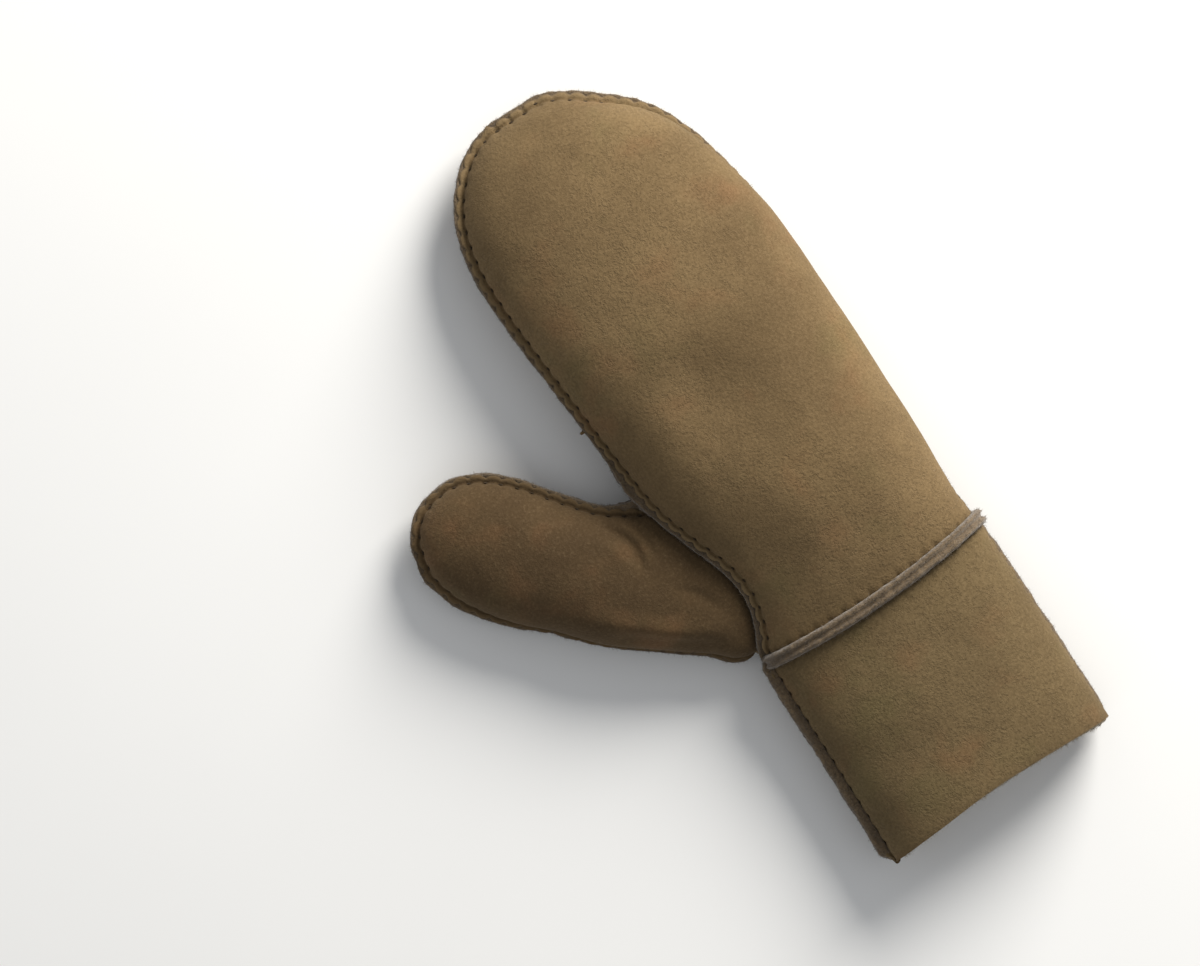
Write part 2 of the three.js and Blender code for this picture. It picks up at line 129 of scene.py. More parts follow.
def rows_at(table, k):
    """Rows of a table at the places k, the first row being 0: a cubic through the four rows round each."""
    i = np.clip(np.floor(k).astype(int), 0, len(table) - 2)
    t = (k - i)[:, None]
    a, b, c, d = (table[np.clip(i + j, 0, len(table) - 1)] for j in (-1, 0, 1, 2))
    return b + 0.5 * t * (c - a + t * (2 * a - 5 * b + 4 * c - d + t * (3 * (b - c) + d - a)))


def place_of(y):
    """Place in the hand's table for each Y."""
    fine = np.linspace(0, TIP, 4000)
    return np.interp(y, rows_at(HAND, fine)[:, 1], fine)


def length_at(line):
    """Length along a line up to each of its points."""
    return np.concatenate([[0], np.cumsum(np.linalg.norm(np.diff(line, axis=0), axis=1))])


def spaced(table, first, last, count):
    """Places in a table from first to last, evenly far apart along the mean of both edges and the crown."""
    fine = np.linspace(first, last, 1500)
    rows = rows_at(table, fine)
    crown = np.column_stack([(rows[:, :2] + rows[:, 2:4]) / 2, rows[:, 6]])
    lines = (rows[:, :2], rows[:, 2:4], crown)
    steps = sum(np.linalg.norm(np.diff(line, axis=0), axis=1) for line in lines)
    length = np.concatenate([[0], np.cumsum(steps)])
    return np.interp(np.linspace(0, length[-1], count), length, fine)


def even_rows(rows, columns, first=0.0, last=0.0):
    """Points evenly far apart along each row, from first mm after its start to last mm before its end."""
    out = np.empty((len(rows), columns, 3))
    before, after = (np.broadcast_to(margin, len(rows)) for margin in (first, last))
    for i, row in enumerate(rows):
        length = length_at(row)
        room = min(1, length[-1] / (4 * (before[i] + after[i]) + 1e-9))
        places = np.linspace(before[i] * room, length[-1] - after[i] * room, columns)
        for c in range(3):
            out[i, :, c] = np.interp(places, length, row[:, c])
    return out


def bell(away, width):
    """1 at no distance, falling to 0 beyond the width as a bell curve."""
    return np.exp(-((away / width) ** 2))


def ramp(value, start, end):
    """0 before start, 1 after end, and an S-curve between."""
    t = np.clip((value - start) / (end - start), 0, 1)
    return t * t * (3 - 2 * t)


def arch(sections, columns):
    """The upper side of each section: a superellipse from the high seam over the crown to the widest place
    of the rounded side, then a quarter ellipse turning under to the low seam, in evenly far points."""
    start, end = sections[:, None, :2], sections[:, None, 2:4]
    seam, low, crown = (sections[:, c, None] for c in (4, 5, 6))
    span = np.linalg.norm(end - start, axis=2)
    corner = np.minimum(CORNER, CORNER_SHARE * span)
    side = np.maximum(crown * BULGE, low)
    quarter = np.pi / 2
    turn = np.linspace(0, 1, 260) * (2 + np.arcsin(1 - low / side) / quarter)
    rising = np.clip(turn, 0, 1) * quarter
    falling = np.clip(2 - turn, 0, 1) * quarter
    under = np.clip(turn - 2, 0, 1) * quarter
    p = 2 / ROUNDNESS
    share = np.where(turn < 1, 1 - np.cos(rising) ** p, 1 + np.abs(np.cos(falling)) ** p) / 2 * span
    across = np.where(turn < 2, share, span - corner + corner * np.cos(under))
    foot = np.where(turn < 1, seam, side)
    height = np.where(turn < 1, np.sin(rising), np.sin(falling)) ** p
    z = np.where(turn < 2, foot + (crown - foot) * height, side - side * np.sin(under))
    xy = start + (end - start) * (across / span)[..., None]
    hollow = sum(
        depth * bell(np.hypot((xy[..., 0] - x) / reach_x, (xy[..., 1] - y) / reach_y), 1)
        for x, y, reach_x, reach_y, depth in DENTS
    )
    z = z - hollow * np.clip((z - seam) / (crown - seam), 0, 1)
    return even_rows(np.dstack([xy, z]), columns, SEAM_HALF, SEAM_HALF)


def drawn_down(grid, places):
    """The end of an upper side drawn down to its seam: each row's height over the straight line between its
    two ends fades to nothing over the last sections, by a quarter ellipse."""
    share = np.clip((places[-1] - places) / CLOSING, 0, 1)
    level = np.linspace(grid[:, 0, 2], grid[:, -1, 2], grid.shape[1], axis=1)
    grid[..., 2] = level + (grid[..., 2] - level) * np.sqrt(1 - (1 - share) ** 2)[:, None]
    return grid


def line_at(line, x, z):
    """Y of a line across the mitten: straight between its ends, and bent as a parabola, one way on the back
    and another under the palm, blending from one to the other by the height."""
    left, right, back, palm = line
    bend = 1 - np.minimum((x / HALF_WIDTH) ** 2, 1)
    share = np.clip((z - PALM_TO_BACK[0]) / PALM_TO_BACK[1], 0, 1)
    straight = left + (right - left) * (x + HALF_WIDTH) / (2 * HALF_WIDTH)
    return straight + bend * (palm + (back - palm) * share)


def lumps(points, size, seed):
    """Smooth lumps from -1 to 1: random values at the corners of a lattice, blended through each cell."""
    values = np.random.default_rng(seed).uniform(-1, 1, (32, 32, 32))
    cell = np.floor(points / size).astype(int)
    part = points / size - cell
    part = part * part * (3 - 2 * part)
    total = 0
    for corner in np.ndindex(2, 2, 2):
        weight = np.prod(np.where(corner, part, 1 - part), axis=-1)
        i = (cell + corner) % 32
        total = total + weight * values[i[..., 0], i[..., 1], i[..., 2]]
    return total


def nearest(points, line, axes=3):
    """Distance from each point to the nearest place of a line, and that place's number."""
    p, q = points[..., :axes].reshape(-1, axes), line[:, :axes]
    place = np.empty(len(p), int)
    for part in np.array_split(np.arange(len(p)), len(p) // 3000 + 1):
        place[part] = ((p[part, None] - q) ** 2).sum(-1).argmin(1)
    away = np.linalg.norm(p - q[place], axis=1)
    return away.reshape(points.shape[:-1]), place.reshape(points.shape[:-1])


def around(grid):
    """The values on the four sides of a grid, once round: first row, last column, last row, first column."""
    return np.concatenate([grid[0], grid[1:, -1], grid[-1, -2::-1], grid[-2:0:-1, 0]])


def sides(shape, first_row, last_column, last_row, first_column):
    """One value for each place round a grid."""
    values = np.zeros(shape)
    values[:, -1] = last_column
    values[:, 0] = first_column
    values[-1] = last_row
    values[0] = first_row
    return around(values)


def blurred(values, length, reach):
    """Each value round a loop becomes the mean of the others, weighted by a bell curve of their distance
    along the loop in millimetres."""
    away = np.abs(length[:, None] - length)
    weight = bell(np.minimum(away, length[-1] - away), reach)
    share = np.gradient(length)
    return (weight * share) @ values / (weight @ share).reshape(-1, *[1] * (values.ndim - 1))


def numbered(grid):
    """The number of each point of a grid, row by row."""
    return np.arange(grid.shape[0] * grid.shape[1]).reshape(grid.shape[:2])


def quads(ids, looped=False):
    """Faces between each row of point numbers and the next."""
    if looped:
        ids = np.column_stack([ids, ids[:, 0]])
    corners = (ids[:-1, :-1], ids[:-1, 1:], ids[1:, 1:], ids[1:, :-1])
    return np.stack([c.ravel() for c in corners], axis=1)


def add_piece(name, points, faces, material):
    """A mesh of points in millimetres as a smooth object that rides on the mitten's body."""
    mesh = bpy.data.meshes.new(name)
    mesh.from_pydata(((points - CENTRE) * MM).tolist(), [], [f for part in faces for f in part.tolist()])
    mesh.shade_smooth()
    mesh.materials.append(material)
    piece = bpy.data.objects.new(name, mesh)
    bpy.context.collection.objects.link(piece)
    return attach(piece, "root")


STITCHES = []  # of each skin: middles, way along the seam and way into the skin


def sewn_skin(name, grid, rise, turned, material, seed, facing=1, stitched=True):
    """A cut piece of skin. The grid is its surface, which swells and sinks by soft lumps and puckers at the
    stitches near its sides. Round it goes the lip, a profile carried once round the sides and standing out
    from them. rise is the lip's slope above the level, or nan where it stands square to the skin, turned is
    how much of it there is, and facing is 1 for an upper side and -1 for an under side."""
    ids = numbered(grid)
    normal = unit(np.cross(np.gradient(grid, axis=1), np.gradient(grid, axis=0)))
    square = around(normal)
    line = around(grid)
    length = length_at(line)
    way = unit(np.roll(line, -1, axis=0) - np.roll(line, 1, axis=0))
    way = unit(blurred(way, length, EDGE_ROUNDING))
    level = facing * unit(np.cross(way, (0, 0, 1)))
    tilted = level * np.cos(rise)[:, None] + np.outer(np.sin(rise), (0, 0, 1))
    out = unit(blurred(np.where(np.isnan(rise)[:, None], square, tilted), length, TURN_ROUNDING))
    inward = unit(np.cross(square, way))
    turned = blurred(turned, length, EDGE_ROUNDING)
    out = np.where((turned < LEAST_LIP)[:, None], -inward, out)
    turned = np.maximum(turned, LEAST_LIP)

    count = round(length[-1] / STITCH_PITCH)
    pinch = (0.5 + 0.5 * np.cos(2 * np.pi * count * length / length[-1])) ** 3
    away, place = nearest(grid, line)
    pull = pinch[place] * (turned[place] > 0.2)
    swell = sum(height * lumps(grid, size, seed + i) for i, (height, size) in enumerate(SWELLS))
    sunk = PUCKER[0] * pull * bell(away, PUCKER[1])
    raised = ROLL_HIGH * (1 - pull) * bell(away - ROLL_AT, ROLL_REACH) * turned[place]
    push = swell * ramp(away, *SWELL_FROM) - sunk + raised
    surface = grid + normal * push[..., None]
    surface[..., 2] = np.maximum(surface[..., 2], SKIN * np.maximum(normal[..., 2], 0))

    root = around(surface)
    points = [surface.reshape(-1, 3)]
    edge = [away.ravel()]
    rings = [around(ids)]
    fray = 1 + 0.07 * lumps(line, 4, seed + 3) - 0.12 * pinch
    for reach, sink in LIP:
        tight = sink + 0.5 * pinch * bell(reach - 1.1, 1.2)
        rings.append(ids.size + len(line) * (len(rings) - 1) + np.arange(len(line)))
        ring = root + out * (reach * turned * fray)[:, None] - inward * (tight * turned)[:, None]
        ring[:, 2] = np.maximum(ring[:, 2], SKIN * np.maximum(square[:, 2], 0))
        points.append(ring)
        edge.append(-reach * turned)
    strip = quads(np.array(rings), looped=True)[:, ::-1]
    piece = add_piece(name, np.concatenate(points), [quads(ids), strip], material)
    attribute = piece.data.attributes.new("edge", "FLOAT", "POINT")
    attribute.data.foreach_set("value", np.concatenate(edge).astype(np.float32))
    wall = piece.modifiers.new("skin", "SOLIDIFY")
    wall.thickness = SKIN * MM
    wall.offset = -1
    piece.data.materials.append(cut_edge)
    wall.material_offset_rim = 1

    if stitched:
        deepest = (np.roll(pinch, 1) < pinch) & (np.roll(pinch, -1) <= pinch)
        holes = np.flatnonzero(deepest & (turned > STITCHED_LIP))
        middle = root[holes] + out[holes] * THREAD_OUT - inward[holes] * THREAD_DOWN
        STITCHES.append((middle, way[holes], inward[holes]))
    return piece


def add_node(tree, kind, sockets=(), **settings):
    """A shader node: its settings, then each socket set to a value or linked to another node's output."""
    made = tree.nodes.new(kind)
    for key, value in settings.items():
        setattr(made, key, value)
    for key, value in dict(sockets).items():
        if isinstance(value, bpy.types.NodeSocket):
            tree.links.new(value, made.inputs[key])
        else:
            made.inputs[key].default_value = value
    return made


def linear(red, green, blue):
    """A colour given as 8-bit display values, as the linear one that the shader takes."""
    return (*(((c / 255 + 0.055) / 1.055) ** 2.4 for c in (red, green, blue)), 1.0)


def new_material(name, **sockets):
    """An empty material with its shader, and the object's own coordinates."""
    material = bpy.data.materials.new(name)
    material.use_nodes = True
    tree = material.node_tree
    shader = tree.nodes["Principled BSDF"]
    for key, value in sockets.items():
        shader.inputs[key.replace("_", " ").title().replace("Ior", "IOR")].default_value = value
    place = tree.nodes.new("ShaderNodeTexCoord").outputs["Object"]
    return material, tree, shader, place


def noise(tree, place, size, detail=2.0, roughness=0.5):
    """Noise whose lumps are about size millimetres wide."""
    sockets = {"Vector": place, "Scale": 0.5 / (size * MM), "Detail": detail, "Roughness": roughness}
    return add_node(tree, "ShaderNodeTexNoise", sockets).outputs["Fac"]


def stretched(tree, value, low, high, to_low=0.0, to_high=1.0):
    """A value from low to high stretched to another range, smoothly and without going past it."""
    sockets = {"Value": value, "From Min": low, "From Max": high, "To Min": to_low, "To Max": to_high}
    return add_node(tree, "ShaderNodeMapRange", sockets, interpolation_type="SMOOTHSTEP").outputs["Result"]


def blended(tree, share, first, second, how="MIX"):
    """One colour turned into or laid over another by a share."""
    made = add_node(tree, "ShaderNodeMix", data_type="RGBA", blend_type=how)
    for socket, value in zip((0, 6, 7), (share, first, second)):
        if isinstance(value, bpy.types.NodeSocket):
            tree.links.new(value, made.inputs[socket])
        else:
            made.inputs[socket].default_value = value
    return made.outputs[2]


def bumped(tree, height, strength, depth, under=None):
    """A bump whose full height is depth millimetres."""
    sockets = {"Height": height, "Strength": strength, "Distance": depth * MM}
    if under:
        sockets["Normal"] = under
    return add_node(tree, "ShaderNodeBump", sockets).outputs["Normal"]


REDDISH = linear(118, 80, 52)
OLIVE = linear(84, 79, 46)
BETWEEN_NAP = linear(48, 37, 22)
NAP_ENDS = linear(152, 130, 96)
WOOL_SIDE = linear(92, 78, 60)
# Painted shade: the dark brown laid into the valley between a skin and its lip
VALLEY_PAINTED_SHADE = linear(54, 41, 25)


def suede(name, dark, light, rubbed):
    """Brushed suede: short nap in fine speckles, clouds of darker and lighter nap, faint reddish and olive
    patches, a rubbed paler lip, and painted shade in the valley along the stitches."""
    material, tree, shader, place = new_material(
        name, sheen_weight=0.12, sheen_roughness=0.55, specular_ior_level=0.2
    )
    shader.inputs["Sheen Tint"].default_value = linear(226, 200, 160)
    nap = noise(tree, place, 0.55, 3, 0.7)
    clouds = noise(tree, place, 26, 5, 0.62)
    colour = blended(tree, stretched(tree, clouds, 0.3, 0.7), dark, light)
    red = stretched(tree, noise(tree, place, 12, 3), 0.52, 0.78, 0, 0.32)
    colour = blended(tree, red, colour, REDDISH)
    olive = stretched(tree, noise(tree, place, 19, 3, 0.6), 0.54, 0.78, 0, 0.35)
    colour = blended(tree, olive, colour, OLIVE)
    colour = blended(tree, stretched(tree, nap, 0.28, 0.62, 0.26, 0), colour, BETWEEN_NAP)
    colour = blended(tree, stretched(tree, nap, 0.52, 0.8, 0, 0.14), colour, NAP_ENDS)
    edge = add_node(tree, "ShaderNodeAttribute", attribute_name="edge").outputs["Fac"]
    lip = stretched(tree, edge, -0.6, -1.6, 0, 0.6)
    colour = blended(tree, lip, colour, rubbed)
    cut = stretched(tree, edge, -2.3, -2.9, 0, 0.7)
    colour = blended(tree, cut, colour, WOOL_SIDE)
    # Painted shade in the valley between the skin and its lip, near the stitches, fading out on the lip
    # itself
    valley_painted_shade = stretched(tree, edge, 2.6, 0.2, 0, 0.16)
    out_of_lip = stretched(tree, edge, -1.3, -0.3, 0, 1)
    both = add_node(tree, "ShaderNodeMath", {0: valley_painted_shade, 1: out_of_lip}, operation="MULTIPLY").outputs[0]
    colour = blended(tree, both, colour, VALLEY_PAINTED_SHADE)
    tree.links.new(colour, shader.inputs["Base Color"])
    tree.links.new(stretched(tree, nap, 0.3, 0.7, 0.98, 0.84), shader.inputs["Roughness"])
    hide = bumped(tree, noise(tree, place, 5, 3, 0.6), 0.5, 0.6)
    creased = stretched(tree, noise(tree, place, 2.2, 5, 0.75), 0.36, 0.52)
    in_patches = stretched(tree, noise(tree, place, 30, 2), 0.42, 0.6, 0.25, 1)
    crackle = add_node(tree, "ShaderNodeMath", {0: creased, 1: in_patches}, operation="MULTIPLY").outputs[0]
    hide = bumped(tree, crackle, 0.5, 0.22, hide)
    fine = bumped(tree, nap, 0.7, 0.35, hide)
    hair = bumped(tree, noise(tree, place, 0.35, 2), 0.5, 0.12, fine)
    tree.links.new(hair, shader.inputs["Normal"])
    return material


cut_edge, tree, shader, place = new_material("cut_edge", roughness=0.95, specular_ior_level=0.1)
layers = stretched(tree, noise(tree, place, 0.8, 3, 0.7), 0.3, 0.7)
cut_colour = blended(tree, layers, linear(116, 98, 70), linear(158, 140, 110))
tree.links.new(cut_colour, shader.inputs["Base Color"])
tree.links.new(bumped(tree, layers, 0.6, 0.3), shader.inputs["Normal"])

hand_suede = suede("hand_suede", linear(95, 77, 51), linear(114, 94, 64), linear(122, 103, 74))

hand_places = spaced(HAND, place_of(WRIST_Y + SEAM_HALF), TIP - TOP_SHORT, BACK_GRID[0])
hand_top = drawn_down(arch(rows_at(HAND, hand_places), BACK_GRID[1]), hand_places)
shift = line_at(WRIST, hand_top[0, :, 0], hand_top[0, :, 2]) - WRIST_Y
hand_top[..., 1] += (1 - ramp(hand_top[..., 1], *SETTLED_Y)) * shift
tip_rise = np.linspace(HIGH_RISE, LOW_RISE, BACK_GRID[1])
thumb_side_lip = SIDE_LIP + (1 - SIDE_LIP) * ramp(hand_top[:, 0, 1], *WHOLE_LIP_Y)
back = sewn_skin(
    "back_of_hand",
    hand_top,
    sides(hand_top.shape[:2], np.nan, LOW_RISE, tip_rise, HIGH_RISE),
    sides(hand_top.shape[:2], WRIST_LIP, 1, 1, thumb_side_lip),
    hand_suede,
    seed=1,
)
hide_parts("back_panel")

# Palm, under the fingers and the little finger's side
# A second cut of the same skin, sewn to the back round the fingertips and to the ball of the thumb by the
# curved seam in the palm. It lies flat on the floor and turns up to the seams.
PALM_SEAM = np.array(
    [(-1, 92), (-3.5, 106), (-6, 128), (-8, 150), (-15, 169), (-26, 184), (-38, 192), (-58, 195)]
)
WEB_SEAM = np.array([(-49.8, 160.5), (-35.6, 164.6), (-31, 166), (-32.6, 170.6), (-39, 189)])
SKIN_OVER_RIDGE = 2.6
UNDER_LIP = 0.8
SOLE_SHORT = 0.08  # how many sections short of the last an under side ends
TIP_START = 14  # the section where the outline starts to close
PALM_GRID = (190, 118)
PALM_SIDE_Y = 196.5  # where the palm seam meets the side of the hand
SIDE_MARGIN_Y = (194, 199)  # between which the palm draws back from that side


def even_line(line, count, first=0.0, last=0.0):
    """Points evenly far apart along a line."""
    if line.shape[1] == 2:
        line = np.column_stack([line, np.zeros(len(line))])
    return even_rows(line[None], count, first, last)[0]


def curve(points, count):
    """Points evenly far apart along a smooth curve through a few, at height 0."""
    return even_line(rows_at(np.asarray(points, float), np.linspace(0, len(points) - 1, 600)), count)


def crowded(count):
    """Shares from 0 to 1 that crowd towards both ends, as a cosine does."""
    return (1 - np.cos(np.linspace(0, np.pi, count))) / 2


def rounded(share):
    """Height of a quarter ellipse at a share of its width from its high end, from 1 down to 0."""
    return 1 - np.sqrt(1 - (1 - np.clip(share, 0, 1)) ** 2)


def ground(x, y):
    """Height of the hand's under side: 0 where it lies, with a quarter ellipse up to the high seam on the
    left and another up the rounded side on the right."""
    rows = rows_at(HAND, place_of(y.ravel()))
    left, right, seam, low, crown = (rows[:, c].reshape(x.shape) for c in (0, 2, 4, 5, 6))
    corner = np.minimum(CORNER, CORNER_SHARE * (right - left))
    side = np.maximum(crown * BULGE, low)
    return np.maximum(seam * rounded((x - left) / corner), side * rounded((right - x) / corner))


def rim(grid, line, reach):
    """Height of a skin that turns up to its seam: a quarter ellipse as far in as reach, by the distance in
    plan from the nearest place of the seam, between its points too, and with that place's height."""
    _, place = nearest(grid, line, 2)
    way = unit(np.gradient(line[:, :2], axis=0))[place]
    half = np.linalg.norm(np.diff(line[:, :2], axis=0), axis=1).max() / 2
    gap = grid[..., :2] - line[place, :2]
    along = np.clip((gap * way).sum(axis=-1), -half, half)
    away = np.linalg.norm(gap - way * along[..., None], axis=-1)
    return line[place, 2] * rounded(away / reach)


def low_seam(sections):
    """The low seam's points: on the rounded lower corner, at the seam's height."""
    start, end = sections[:, :2], sections[:, 2:4]
    low, crown = sections[:, 5], sections[:, 6]
    corner = np.minimum(CORNER, CORNER_SHARE * np.linalg.norm(end - start, axis=1))
    inward = corner * (1 - np.sqrt(1 - np.maximum(0, 1 - low / (crown * BULGE)) ** 2))
    return np.column_stack([end + unit(start - end) * np.minimum(inward, 7)[:, None], low])


def high_seam(sections):
    """The high seam's points."""
    return np.column_stack([sections[:, :2], sections[:, 4]])


def over_ridges(grid, lines):
    """Skin lifted over the seams that lie under it, in a bell across each."""
    for line in lines:
        away, _ = nearest(grid, line, 2)
        grid[..., 2] = np.maximum(grid[..., 2], SKIN_OVER_RIDGE * ramp(away, 5.5, 2.2))
    return grid


def sole_rows(right, left, columns, first=0.0, last=0.0):
    """Straight rows in plan from the right line to the left one, with the height of the hand's under side,
    in evenly far points. The places crowd towards both ends first, where the skin turns up steeply."""
    xy = right[:, None, :2] + (left - right)[:, None, :2] * crowded(420)[:, None]
    height = np.maximum(ground(xy[..., 0], xy[..., 1]), rim(xy, hand_tip, CORNER))
    return even_rows(np.dstack([xy, height]), columns, first, last)


palm_line = curve(PALM_SEAM, 200)
web_line = curve(WEB_SEAM, 120)
wrist_x = np.linspace(-60, 60, 200)
wrist_line = np.column_stack([wrist_x, line_at(WRIST, wrist_x, 0 * wrist_x), 0 * wrist_x])

tip_sections = rows_at(HAND, np.linspace(TIP_START, TIP, 120))
hand_tip = even_line(np.concatenate([high_seam(tip_sections), low_seam(tip_sections)[::-1]]), 260)
sole_places = spaced(HAND, place_of(WRIST_Y + SEAM_HALF), TIP - SOLE_SHORT, 400)
right_edge = even_line(low_seam(rows_at(HAND, sole_places)), PALM_GRID[0])
above_web = spaced(HAND, place_of(PALM_SIDE_Y), TIP - SOLE_SHORT, 300)
left_edge = high_seam(rows_at(HAND, above_web))
beside_palm = curve(PALM_SEAM[:-1] + (SEAM_HALF * 0.7, SEAM_HALF * 0.7), 200)
left_edge = even_line(np.concatenate([beside_palm, left_edge]), PALM_GRID[0])
at_side = SEAM_HALF * ramp(left_edge[:, 1], *SIDE_MARGIN_Y)
palm_grid = sole_rows(right_edge, left_edge, PALM_GRID[1], SEAM_HALF, at_side)
palm_grid = over_ridges(palm_grid, [palm_line, wrist_line])
side_lip = UNDER_LIP * (left_edge[:, 1] > SIDE_MARGIN_Y[1])
palm = sewn_skin(
    "palm",
    palm_grid,
    sides(palm_grid.shape[:2], np.nan, HIGH_RISE, 0, LOW_RISE),
    sides(palm_grid.shape[:2], 0, side_lip, UNDER_LIP, UNDER_LIP),
    hand_suede,
    seed=11,
    facing=-1,
)
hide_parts("palm_panel")

# Web between the thumb and the hand
# A small three-cornered piece that lets the thumb swing out. It is sewn in with a V-shaped seam whose
# point is in the palm, and its third side is on the side of the hand.
WEB_SIDE_Y = np.array([160.5, 194.0])
WEB_GRID = (40, 34)

web_edge = high_seam(rows_at(HAND, np.linspace(*place_of(WEB_SIDE_Y), 100)))
web_edge = even_line(web_edge, WEB_GRID[0])
web_inside = np.concatenate([web_line, palm_line[palm_line[:, 0] < WEB_SEAM[-1, 0] - 1]])
web_inside = even_line(web_inside, WEB_GRID[0])
web_grid = sole_rows(web_inside, web_edge, WEB_GRID[1], 0, SEAM_HALF)[1:]
web_grid = over_ridges(web_grid, [palm_line, web_line])
web_lip = UNDER_LIP * np.sin(np.linspace(0, np.pi, len(web_grid)))
web = sewn_skin(
    "web",
    web_grid,
    sides(web_grid.shape[:2], np.nan, HIGH_RISE, np.nan, np.nan),
    sides(web_grid.shape[:2], 0, web_lip, 0, 0),
    hand_suede,
    seed=21,
    facing=-1,
    stitched=False,
)
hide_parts("web_gusset")

# Back of the thumb
# The outer half of the thumb, tucked under the hand's lip at its root, where the skin creases when the
# thumb is folded in. Its suede is painted darker than the hand's, as painted shade for the thumb lying low
# beside the hand.

# Lower edge, upper edge, height of the upper and lower seam, and crown
THUMB = np.array(
    [
        (-16, 98, -17, 141, 13, 7, 24),
        (-48.5, 92, -50.4, 155.5, 15, 6.5, 26.5),
        (-62.5, 101, -60, 160.6, 15.5, 5, 27.5),
        (-77.5, 112, -68.8, 166.8, 15, 5, 28.5),
        (-92.5, 124, -77.6, 177, 13.5, 5, 28.5),
        (-105.5, 138.5, -88, 190.5, 13, 5.5, 28),
        (-115, 147.8, -97.5, 199.5, 12.5, 6, 27),
        (-122.5, 157, -107.5, 204.2, 12, 7, 25.5),
        (-128.5, 166.4, -117, 204, 11.6, 8, 23),
        (-131.6, 174, -124.5, 201, 11.3, 9.4, 20),
        (-133, 180, -129.2, 196, 11.1, 10.4, 16.5),
        (-133, 184.5, -131.4, 192, 11, 10.8, 14),
    ]
)[:, [2, 3, 0, 1, 4, 5, 6]]
THUMB_TIP = len(THUMB) - 1

THUMB_GRID = (132, 104)
THUMB_LIP = 0.9
TUCKED_Y = np.array([WRIST_Y, 168.0])  # the stretch of the hand's side that holds the root down
UNDER_LIP_OF_HAND = 2.6  # and how far under its lip
TUCK_SOFTNESS = 1.2
FREE_X = (44, 52)  # -X between which it comes out from under there

# Creases and soft ridges on the thumb: points, height and half width
THUMB_FOLDS = (
    (((-70, 163), (-65.5, 156), (-64, 149), (-66, 141)), -2.2, 1.8),
    (((-75, 160), (-71, 151), (-72, 143)), 0.7, 3.2),
    (((-60, 158), (-58.5, 150), (-60, 143)), -1.2, 1.6),
    (((-97, 138), (-78, 122.5), (-66, 113), (-54, 106.5)), 1.7, 4.2),
    (((-88, 124), (-78, 116.5), (-66, 107.5), (-54, 100.5)), -1.1, 2.6),
    (((-60, 128), (-54, 122), (-49, 112)), -1.0, 2.2),
)

# Painted shade: the thumb's suede colours are darker than the hand's to stand for the shade it lies in
thumb_suede_painted_shade = suede("thumb_suede_painted_shade", linear(70, 54, 34), linear(85, 67, 43), linear(99, 81, 56))


def folded(grid, normal, folds):
    """Skin raised or sunk along a few lines, in a bell across each line that fades at its ends."""
    for points, height, width in folds:
        line = curve(points, 120)
        away, place = nearest(grid, line, 2)
        fading = np.sin(np.pi * np.clip((place + 4) / (len(line) + 8), 0, 1)) ** 0.6
        grid = grid + normal * (height * bell(away, width) * fading)[..., None]
    return grid


def tucked(grid):
    """The thumb's root held down under the hand's lip: its height is capped a little below the lip, and the
    cap rises with the distance from the lip outward. The two heights are joined by a soft minimum."""
    side = high_seam(rows_at(HAND, np.linspace(*place_of(TUCKED_Y), 300)))
    away, place = nearest(grid, side, 2)
    beyond = away * np.where(grid[..., 0] < side[place, 0], 1, -0.2)
    cap = side[place, 2] - UNDER_LIP_OF_HAND + np.maximum(beyond - 2.0, -1)
    grid = grid.copy()
    grid[..., 2] = -TUCK_SOFTNESS * np.logaddexp(-grid[..., 2] / TUCK_SOFTNESS, -cap / TUCK_SOFTNESS)
    return grid


thumb_places = spaced(THUMB, 0.72, THUMB_TIP - TOP_SHORT, THUMB_GRID[0])
thumb_top = tucked(arch(rows_at(THUMB, thumb_places), THUMB_GRID[1]))[:, ::-1]
thumb_top = drawn_down(thumb_top, thumb_places)
thumb_normal = unit(np.cross(np.gradient(thumb_top, axis=1), np.gradient(thumb_top, axis=0)))
thumb_top = folded(thumb_top, thumb_normal, THUMB_FOLDS)
free_lip = THUMB_LIP * ramp(-thumb_top[:, 0, 0], *FREE_X)
tip_rise = np.linspace(LOW_RISE, HIGH_RISE, THUMB_GRID[1])
thumb_back = sewn_skin(
    "thumb_outside",
    thumb_top,
    sides(thumb_top.shape[:2], np.nan, HIGH_RISE, tip_rise, LOW_RISE),
    sides(thumb_top.shape[:2], 0, free_lip, THUMB_LIP, free_lip),
    thumb_suede_painted_shade,
    seed=31,
)
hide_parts("thumb_back")

# Front of the thumb, in one piece with the ball of the thumb
# Its straight side is sewn to the cuff, its curved side to the palm, and a narrow tongue of it runs up
# between the palm and the web. The rest is sewn to the outer half of the thumb.
BALL_GRID = (210, 96)
BALL_CORNER = (-44.5, 90.5, 6.5)  # at the wrist seam, below the thumb
TONGUE = np.array([-19.0, 150.0, 0.0])  # what the rows beside the tongue are drawn towards

